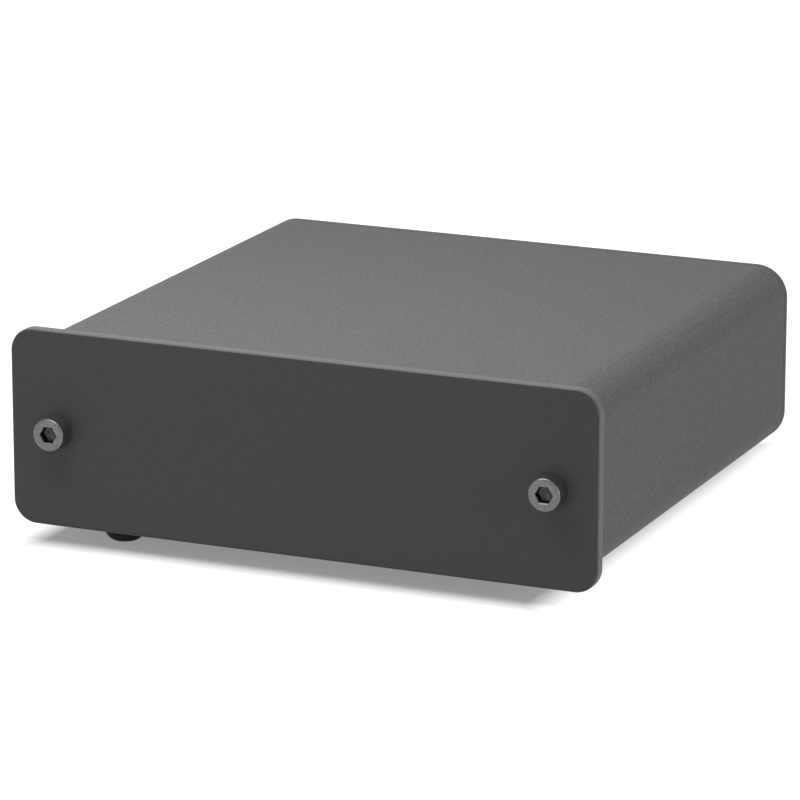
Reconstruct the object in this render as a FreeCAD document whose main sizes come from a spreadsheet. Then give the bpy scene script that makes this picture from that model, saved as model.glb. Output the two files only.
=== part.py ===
import FreeCAD, Part
import os
import re
import Sketcher

# A small phono preamplifier: an extruded aluminium sleeve closed by a thick front plate and a
# flush rear panel, with the circuit board slid into the sleeve's card slots.
# Millimetres, +Z up, +X to the right seen from the front, +Y to the back.
# The origin is on the floor, under the centre of the whole box.

doc = FreeCAD.newDocument("PhonoPreamp")

SIZES = {
    # front plate
    "plate_wide": 103.0,
    "plate_high": 33.0,
    "plate_thick": 2.0,
    "plate_corner": 4.0,
    "plate_edge": 0.3,
    "plate_drop": 0.7,
    # extruded sleeve, its card slots and its screw ports
    "sleeve_wide": 98.2,
    "sleeve_high": 31.0,
    "sleeve_long": 91.5,
    "sleeve_wall": 1.5,
    "sleeve_corner": 5.5,
    "rib_deep": 2.0,
    "rib_thick": 1.2,
    "slot_gap": 0.2,
    "port_wall": 1.2,
    "port_slit": 1.4,
    "neck_high": 2.6,
    # rear panel
    "rear_thick": 1.5,
    "hole_gap": 0.15,
    # case screws, M3 socket heads
    "screw_reach": 43.4,
    "screw_across": 3.0,
    "head_across": 5.5,
    "head_high": 3.0,
    "head_edge": 0.3,
    "hex_across": 2.5,
    "hex_deep": 1.6,
    "front_screw_long": 10.0,
    "rear_screw_long": 8.0,
    "thread_gap": 0.05,
    # domed stick-on feet
    "foot_across": 7.4,
    "foot_high": 3.7,
    "foot_flat": 3.2,
    "foot_rim": 0.6,
    "foot_reach": 34.7,
    "foot_front_left": 5.3,
    "foot_front_right": 12.0,
    "foot_rear": 9.0,
    # circuit board
    "board_gap": 4.6,
    "board_thick": 1.6,
    "board_side": 0.3,
    "board_front": 3.0,
    "board_rear": 0.4,
    # phono jacks
    "input_spot": 25.0,
    "output_spot": -11.8,
    "jack_pitch": 14.0,
    "jack_rise": 7.0,
    "block_wide": 24.0,
    "block_high": 13.0,
    "block_deep": 10.0,
    "barrel_across": 8.3,
    "barrel_bore": 6.7,
    "barrel_neck": 8.9,
    "barrel_out": 8.5,
    "barrel_edge": 0.35,
    "barrel_seat": 5.0,
    "core_recess": 0.8,
    "contact_across": 4.4,
    "contact_bore": 3.3,
    "contact_deep": 14.0,
    "contact_tail": 1.4,
    "tail_wide": 1.6,
    "tail_thick": 0.8,
    "press_gap": 0.03,
    # screws that hold the jack blocks
    "tapping_up": 3.4,
    "tapping_across": 2.6,
    "tapping_head": 4.6,
    "tapping_head_high": 1.5,
    "tapping_long": 8.0,
    "cross_wide": 0.7,
    "cross_long": 2.6,
    "cross_deep": 0.8,
    # ground terminal, M4
    "ground_spot": 6.6,
    "stud_across": 4.0,
    "stud_out": 8.2,
    "stud_in": 6.0,
    "stud_edge": 0.4,
    "run_gap": 0.05,
    "inner_nut_across": 7.0,
    "inner_nut_high": 3.2,
    "tag_across": 8.0,
    "tag_thick": 0.5,
    "tag_wide": 3.0,
    "washer_across": 9.0,
    "washer_thick": 0.8,
    "washer_gap": 0.15,
    "knurl_across": 9.4,
    "knurl_long": 4.4,
    "knurl_notch": 0.9,
    "knurl_deep": 0.35,
    "knurl_count": 20,
    "nose_across": 6.6,
    "nose_long": 1.1,
    # power inlet, 5.5 / 2.1 type
    "inlet_spot": -35.0,
    "inlet_wide": 9.0,
    "inlet_high": 11.0,
    "inlet_deep": 12.5,
    "inlet_rise": 6.4,
    "inlet_nose": 8.0,
    "inlet_lip": 0.5,
    "inlet_bore": 6.0,
    "inlet_bore_deep": 10.0,
    "inlet_pin": 2.1,
    "inlet_pin_root": 2.5,
    "inlet_pin_recess": 1.0,
    "inlet_pin_tail": 1.0,
    "leaf_wide": 2.4,
    "leaf_thick": 0.3,
    "leaf_long": 8.0,
    "leaf_gap": 0.1,
    # slide switch
    "switch_spot": -27.0,
    "switch_wide": 4.6,
    "switch_high": 9.0,
    "switch_deep": 4.2,
    "switch_wall": 0.4,
    "switch_base": 0.8,
    "stem_wide": 2.0,
    "stem_high": 2.0,
    "stem_out": 2.2,
    "stem_travel": 2.0,
    "slide_gap": 0.2,
    "carriage_high": 5.0,
    "carriage_deep": 2.4,
    "terminal_pitch": 2.5,
    "terminal_wide": 0.6,
    "terminal_thick": 0.4,
    "terminal_drop": 1.2,
    # parts on the board
    "chip_long": 9.6,
    "chip_wide": 6.4,
    "chip_high": 3.3,
    "chip_foot": 0.6,
    "chip_reach": 17.0,
    "chip_from_rear": 40.0,
    "leg_pitch": 2.54,
    "leg_wide": 0.6,
    "leg_thick": 0.3,
    "filter_across": 10.0,
    "filter_high": 12.5,
    "filter_spot": -34.0,
    "filter_pitch": 12.0,
    "filter_from_rear": 26.0,
    "coupling_across": 5.0,
    "coupling_high": 11.0,
    "coupling_spot": 8.0,
    "coupling_pitch": 8.0,
    "coupling_from_rear": 20.0,
    "film_long": 7.2,
    "film_thick": 3.0,
    "film_high": 7.0,
    "film_spot": -6.0,
    "film_pitch": 7.0,
    "film_from_rear": 50.0,
    "resistor_across": 2.4,
    "resistor_long": 6.3,
    "resistor_spot": -20.0,
    "resistor_pitch": 6.0,
    "resistor_from_rear": 64.0,
    "lead_across": 0.6,
    "lead_reach": 1.9,
    "diode_across": 2.7,
    "diode_long": 5.2,
    "diode_spot": -40.0,
    "diode_pitch": 4.6,
    "diode_from_rear": 50.0,
    "regulator_across": 4.8,
    "regulator_flat": 1.3,
    "regulator_high": 4.6,
    "regulator_lift": 2.5,
    "regulator_spot": -9.0,
    "regulator_pitch": 7.0,
    "regulator_from_rear": 24.0,
}

sheet = doc.addObject("Spreadsheet::Sheet", "Sizes")
for row, (alias, size) in enumerate(SIZES.items(), start=1):
    sheet.set(f"A{row}", alias)
    sheet.set(f"B{row}", str(size))
    sheet.setAlias(f"B{row}", alias)
doc.recompute()

# Places that follow from the sizes
HALF_DEPTH = "((head_high + plate_thick + sleeve_long + rear_thick + barrel_out) / 2)"
PLATE_FRONT = f"(head_high - {HALF_DEPTH})"
PLATE_BACK = f"({PLATE_FRONT} + plate_thick)"
SLEEVE_BACK = f"({PLATE_BACK} + sleeve_long)"
REAR_FACE = f"({SLEEVE_BACK} + rear_thick)"
MIDDLE = "(foot_high + sleeve_high / 2)"
PLATE_UP = "(plate_high / 2 - plate_drop - sleeve_high / 2)"
INNER_HALF = "(sleeve_wide / 2 - sleeve_wall)"
BOARD_LOW = "(foot_high + sleeve_wall + board_gap)"
BOARD_TOP = f"({BOARD_LOW} + board_thick)"
JACK_Z = f"({BOARD_TOP} + jack_rise)"
INLET_Z = f"({BOARD_TOP} + inlet_rise)"
SWITCH_Z = f"({BOARD_TOP} + switch_high / 2)"
JACK_UP = f"({JACK_Z} - {MIDDLE})"
SIDES = {"left": -1, "right": 1}
V = FreeCAD.Vector

kept = {}


def tie(words):
    """The same sum with each size's name pointing at its cell."""
    return re.sub(r"[a-z]+(?:_[a-z]+)+", r"Sizes.\g<0>", str(words))


def number(words):
    return float(sheet.evalExpression(tie(words)))


def bind(thing, name, words):
    thing.setExpression(name, tie(words))


def keep(label, thing):
    thing.Label = label
    kept[label] = thing
    return thing


def place(thing, x, y, z, turn=0):
    """Put a thing at a point; turn is in degrees about X."""
    thing.Placement = FreeCAD.Placement(V(), FreeCAD.Rotation(V(1, 0, 0), turn))
    for axis, words in zip("xyz", (x, y, z)):
        bind(thing, f"Placement.Base.{axis}", words)
    return thing


# Part solids

def box(name, low, size):
    thing = doc.addObject("Part::Box", name)
    for side, words in zip(("Length", "Width", "Height"), size):
        bind(thing, side, words)
    return place(thing, *low)


def rod(name, start, across, length, along="z"):
    """A round bar from its start point up Z or back along Y."""
    thing = doc.addObject("Part::Cylinder", name)
    bind(thing, "Radius", f"({across}) / 2")
    bind(thing, "Height", length)
    return place(thing, *start, turn=-90 if along == "y" else 0)


def joined(name, *parts):
    thing = doc.addObject("Part::MultiFuse", name)
    thing.Shapes = list(parts)
    thing.Refine = True
    return thing


def cut(name, base, *tools):
    thing = doc.addObject("Part::Cut", name)
    thing.Base = base
    thing.Tool = tools[0] if len(tools) == 1 else joined(name + "_tools", *tools)
    return thing


def group(label, parts):
    thing = doc.addObject("Part::Compound", label)
    thing.Links = list(parts)
    return keep(label, thing)


# Bodies and sketches

def body_named(label):
    return doc.addObject("PartDesign::Body", label)


def origin_of(body, role):
    return next(item for item in body.Origin.OriginFeatures if item.Role == role)


def sketch_on(body, role, name, offset=None):
    sketch = body.newObject("Sketcher::SketchObject", name)
    sketch.AttachmentSupport = [(origin_of(body, role), "")]
    sketch.MapMode = "FlatFace"
    if offset:
        bind(sketch, "AttachmentOffset.Base.z", offset)
    return sketch


def hold(sketch, kind, *where, words):
    """Add a constraint whose value follows the sheet."""
    index = sketch.addConstraint(Sketcher.Constraint(kind, *where, number(words)))
    bind(sketch, f"Constraints[{index}]", words)


def hold_point(sketch, geometry, point, x, y):
    hold(sketch, "DistanceX", -1, 1, geometry, point, words=x)
    hold(sketch, "DistanceY", -1, 1, geometry, point, words=y)


def outline(sketch, points):
    """A closed outline of straight runs through points given as sums of sizes."""
    spots = [V(number(x), number(y), 0) for x, y in points]
    first = sketch.GeometryCount
    total = len(spots)
    for i in range(total):
        sketch.addGeometry(Part.LineSegment(spots[i], spots[(i + 1) % total]), False)
    for i in range(total):
        after = first + (i + 1) % total
        sketch.addConstraint(Sketcher.Constraint("Coincident", first + i, 2, after, 1))
    for i, (x, y) in enumerate(points):
        hold_point(sketch, first + i, 1, x, y)


def rectangle(sketch, x, y, wide, high):
    """A rectangle about its middle."""
    left, right = f"({x}) - ({wide}) / 2", f"({x}) + ({wide}) / 2"
    low, top = f"({y}) - ({high}) / 2", f"({y}) + ({high}) / 2"
    outline(sketch, [(left, low), (right, low), (right, top), (left, top)])


def circle(sketch, x, y, across):
    spot = V(number(x), number(y), 0)
    index = sketch.addGeometry(Part.Circle(spot, V(0, 0, 1), number(across) / 2), False)
    hold(sketch, "Radius", index, words=f"({across}) / 2")
    hold_point(sketch, index, 3, x, y)


RADIAN = 3.141592653589793 / 180.0


def rounded_rectangle(sketch, wide, high, corner, up="0"):
    """A rectangle with round corners, its middle raised by up."""
    reach = f"(({wide}) / 2 - ({corner}))"
    rise = f"(({high}) / 2 - ({corner}))"
    radius = number(corner)
    arcs = []
    for quarter, (across, above) in enumerate(((1, 1), (-1, 1), (-1, -1), (1, -1))):
        x, y = f"{across} * {reach}", f"({up}) + {above} * {rise}"
        ring = Part.Circle(V(number(x), number(y), 0), V(0, 0, 1), radius)
        start = quarter * 90.0
        arc = Part.ArcOfCircle(ring, start * RADIAN, (start + 90.0) * RADIAN)
        index = sketch.addGeometry(arc, False)
        hold(sketch, "Radius", index, words=corner)
        hold_point(sketch, index, 3, x, y)
        arcs.append((index, arc))
    for i, (index, arc) in enumerate(arcs):
        following, next_arc = arcs[(i + 1) % 4]
        line = sketch.addGeometry(Part.LineSegment(arc.EndPoint, next_arc.StartPoint), False)
        sketch.addConstraint(Sketcher.Constraint("Tangent", index, 2, line, 1))
        sketch.addConstraint(Sketcher.Constraint("Tangent", line, 2, following, 1))


def pad(body, sketch, length, back=True):
    """Push a sketch out; a sketch on the XZ plane goes to the back."""
    feature = body.newObject("PartDesign::Pad", sketch.Name + "_pad")
    feature.Profile = sketch
    bind(feature, "Length", length)
    feature.Reversed = back
    doc.recompute()
    return feature


def pocket(body, sketch, depth=None, reverse=False):
    """Cut a sketch away, through everything where no depth is given."""
    before = body.Shape.Volume
    feature = body.newObject("PartDesign::Pocket", sketch.Name + "_cut")
    feature.Profile = sketch
    feature.Reversed = reverse
    if depth:
        bind(feature, "Length", depth)
    else:
        feature.Type = "ThroughAll"
    doc.recompute()
    if body.Shape.Volume >= before:
        raise RuntimeError(f"{sketch.Name} cuts nothing")
    return feature


def turned(label, points):
    """A body turned about its own Y axis from an outline of radius and place along Y."""
    body = body_named(label)
    sketch = sketch_on(body, "XY_Plane", label + "_profile")
    outline(sketch, points)
    feature = body.newObject("PartDesign::Revolution", label + "_turning")
    feature.Profile = sketch
    feature.ReferenceAxis = (sketch, ["V_Axis"])
    feature.Angle = 360
    doc.recompute()
    return body


# Extruded sleeve: one profile all along, with a card slot and a screw port on each side wall

def make_sleeve():
    body = body_named("sleeve")
    outer = sketch_on(body, "XZ_Plane", "sleeve_outer")
    rounded_rectangle(outer, "sleeve_wide", "sleeve_high", "sleeve_corner")
    pad(body, outer, "sleeve_long")
    inner = sketch_on(body, "XZ_Plane", "sleeve_inner")
    inner_corner = "sleeve_corner - sleeve_wall"
    inner_high = "sleeve_high - 2 * sleeve_wall"
    rounded_rectangle(inner, "sleeve_wide - 2 * sleeve_wall", inner_high, inner_corner)
    pocket(body, inner)

    # The ribs and necks start inside the wall, so that they grow out of it
    root = "sleeve_wall / 2"
    ribs = sketch_on(body, "XZ_Plane", "card_ribs")
    under = f"{BOARD_LOW} - {MIDDLE} - rib_thick / 2"
    over = f"{BOARD_TOP} - {MIDDLE} + slot_gap + rib_thick / 2"
    for side in SIDES.values():
        for up in (under, over):
            x = f"{side} * ({INNER_HALF} + {root} / 2 - rib_deep / 2)"
            rectangle(ribs, x, up, f"rib_deep + {root}", "rib_thick")
    pad(body, ribs, "sleeve_long")

    rounds = sketch_on(body, "XZ_Plane", "port_rounds")
    necks = sketch_on(body, "XZ_Plane", "port_necks")
    bores = sketch_on(body, "XZ_Plane", "port_bores")
    slits = sketch_on(body, "XZ_Plane", "port_slits")
    bore = "(screw_across + 2 * thread_gap)"
    for side in SIDES.values():
        spot = f"{side} * screw_reach"
        circle(rounds, spot, "0", f"{bore} + 2 * port_wall")
        neck_long = f"({INNER_HALF} + {root} - screw_reach)"
        rectangle(necks, f"{side} * (screw_reach + {neck_long} / 2)", "0", neck_long, "neck_high")
        circle(bores, spot, "0", bore)
        slit_long = f"({bore} / 2 + port_wall + hole_gap)"
        rectangle(slits, f"{side} * (screw_reach - {slit_long} / 2)", "0", slit_long, "port_slit")
    pad(body, rounds, "sleeve_long")
    pad(body, necks, "sleeve_long")
    pocket(body, bores)
    pocket(body, slits)
    place(body, "0", PLATE_BACK, MIDDLE)
    keep("sleeve", body)


# Front plate: larger than the sleeve all round, with a softened front edge

def make_front_panel():
    body = body_named("front_panel")
    face = sketch_on(body, "XZ_Plane", "plate_outline")
    rounded_rectangle(face, "plate_wide", "plate_high", "plate_corner", PLATE_UP)
    plate = pad(body, face, "plate_thick")
    front_edges = [
        f"Edge{i}" for i, edge in enumerate(plate.Shape.Edges, start=1) if edge.BoundBox.YMax < 0.001
    ]
    bevel = body.newObject("PartDesign::Chamfer", "plate_bevel")
    bevel.Base = (plate, front_edges)
    bind(bevel, "Size", "plate_edge")
    doc.recompute()
    holes = sketch_on(body, "XZ_Plane", "plate_holes")
    for side in SIDES.values():
        circle(holes, f"{side} * screw_reach", "0", "screw_across + 2 * hole_gap")
    pocket(body, holes)
    place(body, "0", PLATE_FRONT, MIDDLE)
    keep("front_panel", body)


# Rear panel: flush with the sleeve, and pierced for all that stands out at the back

def make_rear_panel():
    body = body_named("rear_panel")
    face = sketch_on(body, "XZ_Plane", "rear_outline")
    rounded_rectangle(face, "sleeve_wide", "sleeve_high", "sleeve_corner")
    pad(body, face, "rear_thick")
    holes = sketch_on(body, "XZ_Plane", "rear_holes")
    for side in SIDES.values():
        circle(holes, f"{side} * screw_reach", "0", "screw_across + 2 * hole_gap")
    for spot in ("input_spot", "output_spot"):
        for side in SIDES.values():
            x = f"{spot} + {side} * jack_pitch / 2"
            circle(holes, x, JACK_UP, "barrel_neck + 2 * hole_gap")
        circle(holes, spot, f"{JACK_UP} + tapping_up", "tapping_across + 2 * hole_gap")
    circle(holes, "ground_spot", JACK_UP, "stud_across + 2 * hole_gap")
    circle(holes, "inlet_spot", f"{INLET_Z} - {MIDDLE}", "inlet_nose + 2 * hole_gap")
    window = "stem_high + stem_travel + 2 * slide_gap"
    up = f"{SWITCH_Z} - {MIDDLE}"
    rectangle(holes, "switch_spot", up, "stem_wide + 2 * slide_gap", window)
    pocket(body, holes)
    place(body, "0", SLEEVE_BACK, MIDDLE)
    keep("rear_panel", body)


# Case screws: socket heads standing proud of the panels, shanks in the sleeve's ports

def socket_screw(name, x, y, long, turn):
    """Head from y outwards; the shank runs the other way."""
    body = body_named(name)
    profile = sketch_on(body, "XZ_Plane", name + "_profile")
    rim = "head_across / 2"
    shank = "screw_across / 2"
    outline(profile, [
        ("0", "-head_high"),
        (f"{rim} - head_edge", "-head_high"),
        (rim, "head_edge - head_high"),
        (rim, "0"),
        (shank, "0"),
        (shank, long),
        ("0", long),
    ])
    feature = body.newObject("PartDesign::Revolution", name + "_turning")
    feature.Profile = profile
    feature.ReferenceAxis = (profile, ["V_Axis"])
    feature.Angle = 360
    doc.recompute()
    socket = sketch_on(body, "XY_Plane", name + "_socket", offset="-head_high")
    corner = "hex_across / 2 / cos(30)"
    outline(socket, [(f"{corner} * cos({a})", f"{corner} * sin({a})") for a in range(0, 360, 60)])
    pocket(body, socket, "hex_deep", reverse=True)
    return place(body, x, y, MIDDLE, turn)


def make_case_screws():
    front = []
    rear = []
    for name, side in SIDES.items():
        x = f"{side} * screw_reach"
        front.append(socket_screw(f"front_{name}", x, PLATE_FRONT, "front_screw_long", -90))
        rear.append(socket_screw(f"rear_{name}", x, REAR_FACE, "rear_screw_long", 90))
    group("front_screws", front)
    group("rear_screws", rear)


# Feet: domed rubber bumpers stuck under the sleeve by hand, with a small flat to stand on

DOME_STEPS = 2


def foot(name, x, y):
    """A dome drawn as straight steps along a quarter of an ellipse, from its flat to its rim."""
    body = body_named(name)
    sketch = sketch_on(body, "XZ_Plane", name + "_profile")
    points = [("0", "0"), ("foot_flat / 2", "0")]
    for step in range(1, DOME_STEPS + 1):
        angle = 90 * step / DOME_STEPS
        across = f"foot_flat / 2 + (foot_across - foot_flat) / 2 * sin({angle})"
        points.append((across, f"(foot_high - foot_rim) * (1 - cos({angle}))"))
    outline(sketch, points + [("foot_across / 2", "foot_high"), ("0", "foot_high")])
    feature = body.newObject("PartDesign::Revolution", name + "_turning")
    feature.Profile = sketch
    feature.ReferenceAxis = (sketch, ["V_Axis"])
    feature.Angle = 360
    doc.recompute()
    return place(body, x, y, "0")


def make_feet():
    feet = []
    for name, side in SIDES.items():
        rows = {
            "front": f"{PLATE_BACK} + foot_front_{name}",
            "rear": f"{REAR_FACE} - foot_rear",
        }
        for row, y in rows.items():
            feet.append(foot(f"foot_{row}_{name}", f"{side} * foot_reach", y))
    group("feet", feet)


# Phono jacks: one moulded block for each stereo pair, with two plated barrels, their coloured
# insulators and their centre contacts, and one tapping screw from outside the rear panel

def make_jack_block(pair, spot):
    low = (f"{spot} - block_wide / 2", f"{SLEEVE_BACK} - block_deep", BOARD_TOP)
    moulding = box(f"{pair}_moulding", low, ("block_wide", "block_deep", "block_high"))
    tools = []
    for name, side in SIDES.items():
        x = f"{spot} + {side} * jack_pitch / 2"
        stem = f"{pair}_{name}"
        bores = {
            "barrel_seat": ("barrel_neck + 2 * press_gap", "barrel_seat"),
            "contact_seat": ("contact_across + 2 * press_gap", "block_deep"),
        }
        for bore, (across, deep) in bores.items():
            start = (x, f"{SLEEVE_BACK} - {deep}", JACK_Z)
            tools.append(rod(f"{stem}_{bore}", start, across, deep, "y"))
    start = (spot, f"{SLEEVE_BACK} - tapping_long + rear_thick", f"{JACK_Z} + tapping_up")
    bore_long = "tapping_long - rear_thick"
    bore = "tapping_across + 2 * press_gap"
    tools.append(rod(f"{pair}_screw_bore", start, bore, bore_long, "y"))
    keep(f"{pair}_jack_block", cut(f"{pair}_jack_block", moulding, *tools))


def make_jack(pair, name, x):
    stem = f"{pair}_{name}"
    tip = "(rear_thick + barrel_out)"
    barrel, neck, bore = "barrel_across / 2", "barrel_neck / 2", "barrel_bore / 2"
    shell = turned(f"{stem}_shell", [
        (bore, "-barrel_seat"),
        (neck, "-barrel_seat"),
        (neck, "rear_thick"),
        (barrel, "rear_thick"),
        (barrel, f"{tip} - barrel_edge"),
        (f"{barrel} - barrel_edge", tip),
        (bore, tip),
    ])
    keep(f"{stem}_shell", place(shell, x, SLEEVE_BACK, JACK_Z))

    core_tip = f"({tip} - core_recess)"
    hole = "contact_across / 2 + press_gap"
    insulator = turned(f"{stem}_insulator", [
        (hole, "-barrel_seat"),
        (f"{bore} - press_gap", "-barrel_seat"),
        (f"{bore} - press_gap", core_tip),
        (hole, core_tip),
    ])
    keep(f"{stem}_insulator", place(insulator, x, SLEEVE_BACK, JACK_Z))

    end = "(block_deep + contact_tail)"
    long = f"{end} + {core_tip}"
    pin = rod(f"{stem}_pin", (x, f"{SLEEVE_BACK} - {end}", JACK_Z), "contact_across", long, "y")
    mouth = (x, f"{SLEEVE_BACK} + {core_tip} - contact_deep", JACK_Z)
    hollow = rod(f"{stem}_hollow", mouth, "contact_bore", "contact_deep", "y")
    strip_low = (f"{x} - tail_wide / 2", f"{SLEEVE_BACK} - {end}", BOARD_TOP)
    strip = box(f"{stem}_tail", strip_low, ("tail_wide", "tail_thick", "jack_rise"))
    solid = joined(f"{stem}_contact_bar", pin, strip)
    keep(f"{stem}_contact", cut(f"{stem}_contact", solid, hollow))


def tapping_screw(name, x):
    """A small pan-head screw with a cross recess."""
    z = f"{JACK_Z} + tapping_up"
    shank_start = (x, f"{REAR_FACE} - tapping_long", z)
    shank = rod(f"{name}_shank", shank_start, "tapping_across", "tapping_long", "y")
    head = rod(f"{name}_head", (x, REAR_FACE, z), "tapping_head", "tapping_head_high", "y")
    slot_y = f"{REAR_FACE} + tapping_head_high - cross_deep"
    slots = []
    for kind, wide, high in (("flat", "cross_long", "cross_wide"), ("up", "cross_wide", "cross_long")):
        low = (f"{x} - {wide} / 2", slot_y, f"{z} - {high} / 2")
        slots.append(box(f"{name}_slot_{kind}", low, (wide, "cross_deep + hole_gap", high)))
    return cut(f"{name}_screw", joined(f"{name}_blank", shank, head), *slots)


def make_jacks():
    screws = []
    for pair in ("input", "output"):
        spot = f"{pair}_spot"
        make_jack_block(pair, spot)
        for name, side in SIDES.items():
            make_jack(pair, name, f"{spot} + {side} * jack_pitch / 2")
        screws.append(tapping_screw(pair, spot))
    group("jack_screws", screws)


# Ground terminal: a stud held by a hex nut inside, a solder tag, a loose washer and a thumb nut

def make_ground_terminal():
    x, z = "ground_spot", JACK_Z
    thread = "stud_across / 2"
    stud = turned("ground_stud", [
        ("0", "-stud_in"),
        (thread, "-stud_in"),
        (thread, "rear_thick + stud_out - stud_edge"),
        (f"{thread} - stud_edge", "rear_thick + stud_out"),
        ("0", "rear_thick + stud_out"),
    ])
    keep("ground_stud", place(stud, x, SLEEVE_BACK, z))

    nut_y = f"{SLEEVE_BACK} - tag_thick - inner_nut_high"
    prism = doc.addObject("Part::Prism", "inner_nut_blank")
    prism.Polygon = 6
    bind(prism, "Circumradius", "inner_nut_across / 2 / cos(30)")
    bind(prism, "Height", "inner_nut_high")
    place(prism, x, nut_y, z, turn=-90)
    bore = rod("inner_nut_bore", (x, nut_y, z), "stud_across + 2 * press_gap", "inner_nut_high", "y")
    keep("ground_inner_nut", cut("ground_inner_nut", prism, bore))

    tag_y = f"{SLEEVE_BACK} - tag_thick"
    ring = rod("tag_ring", (x, tag_y, z), "tag_across", "tag_thick", "y")
    tongue_low = (f"{x} - tag_wide / 2", tag_y, BOARD_TOP)
    tongue = box("tag_tongue", tongue_low, ("tag_wide", "tag_thick", "jack_rise"))
    hole = rod("tag_hole", (x, tag_y, z), "stud_across + 2 * hole_gap", "tag_thick", "y")
    keep("ground_tag", cut("ground_tag", joined("tag_blank", ring, tongue), hole))

    washer = turned("ground_washer", [
        (f"{thread} + washer_gap", "0"),
        ("washer_across / 2", "0"),
        ("washer_across / 2", "washer_thick"),
        (f"{thread} + washer_gap", "washer_thick"),
    ])
    keep("ground_washer", place(washer, x, REAR_FACE, z))

    hole_edge = f"{thread} + run_gap"
    rim = "knurl_across / 2"
    nut = turned("ground_nut", [
        (hole_edge, "0"),
        (rim, "0"),
        (rim, "knurl_long"),
        ("nose_across / 2", "knurl_long"),
        ("nose_across / 2", "knurl_long + nose_long"),
        (hole_edge, "knurl_long + nose_long"),
    ])
    notch = sketch_on(nut, "XZ_Plane", "knurl_groove")
    proud = f"{rim} + hole_gap"
    wide = "(knurl_notch * (1 + hole_gap / knurl_deep) / 2)"
    outline(notch, [(f"{rim} - knurl_deep", "0"), (proud, f"-{wide}"), (proud, wide)])
    groove = pocket(nut, notch)
    ring_of_grooves = nut.newObject("PartDesign::PolarPattern", "knurl")
    ring_of_grooves.Originals = [groove]
    ring_of_grooves.Axis = (origin_of(nut, "Y_Axis"), [""])
    ring_of_grooves.Angle = 360
    bind(ring_of_grooves, "Occurrences", "knurl_count")
    nut.Tip = ring_of_grooves
    keep("ground_nut", place(nut, x, f"{REAR_FACE} + washer_thick", z))


# Power inlet: a moulded socket with a centre pin and a leaf contact under the bore

def make_power_inlet():
    x, z = "inlet_spot", INLET_Z
    lip = f"{REAR_FACE} + inlet_lip"
    low = (f"{x} - inlet_wide / 2", f"{SLEEVE_BACK} - inlet_deep", BOARD_TOP)
    block = box("inlet_block", low, ("inlet_wide", "inlet_deep", "inlet_high"))
    nose_long = "inlet_deep + rear_thick + inlet_lip"
    nose = rod("inlet_nose_bar", (x, f"{lip} - ({nose_long})", z), "inlet_nose", nose_long, "y")
    bore_start = (x, f"{lip} - inlet_bore_deep", z)
    bore = rod("inlet_bore_cut", bore_start, "inlet_bore", "inlet_bore_deep", "y")
    back = f"{SLEEVE_BACK} - inlet_deep"
    pin_hole_long = f"{lip} - ({back})"
    pin_across = "inlet_pin_root + 2 * press_gap"
    pin_hole = rod("inlet_pin_hole", (x, back, z), pin_across, pin_hole_long, "y")
    slot_wide = "leaf_wide + 2 * leaf_gap"
    slot_low = (f"{x} - ({slot_wide}) / 2", f"{SLEEVE_BACK} - leaf_long - leaf_gap", BOARD_TOP)
    slot = box("inlet_slot", slot_low, (slot_wide, "leaf_long + leaf_gap", "inlet_rise"))
    body = cut("inlet_body", joined("inlet_moulding", block, nose), bore, pin_hole, slot)
    keep("inlet_body", body)

    tip = "(rear_thick + inlet_lip - inlet_pin_recess)"
    floor = "(rear_thick + inlet_lip - inlet_bore_deep)"
    pin = turned("inlet_pin_contact", [
        ("0", "-inlet_deep - inlet_pin_tail"),
        ("inlet_pin_root / 2", "-inlet_deep - inlet_pin_tail"),
        ("inlet_pin_root / 2", floor),
        ("inlet_pin / 2", floor),
        ("inlet_pin / 2", f"{tip} - head_edge"),
        ("inlet_pin / 2 - head_edge", tip),
        ("0", tip),
    ])
    keep("inlet_pin_contact", place(pin, x, SLEEVE_BACK, z))

    leaf_top = f"{z} - inlet_bore / 2"
    leaf_low = (f"{x} - leaf_wide / 2", f"{SLEEVE_BACK} - leaf_long", f"{leaf_top} - leaf_thick")
    leaf = box("leaf_strip", leaf_low, ("leaf_wide", "leaf_long", "leaf_thick"))
    leg_low = (f"{x} - leaf_wide / 2", f"{SLEEVE_BACK} - leaf_long", BOARD_TOP)
    leg = box("leaf_leg", leg_low, ("leaf_wide", "leaf_thick", "inlet_rise - inlet_bore / 2"))
    keep("inlet_leaf", joined("inlet_leaf", leaf, leg))


# Slide switch: a bent metal case over a base with three terminals, and a stem through the panel

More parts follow.
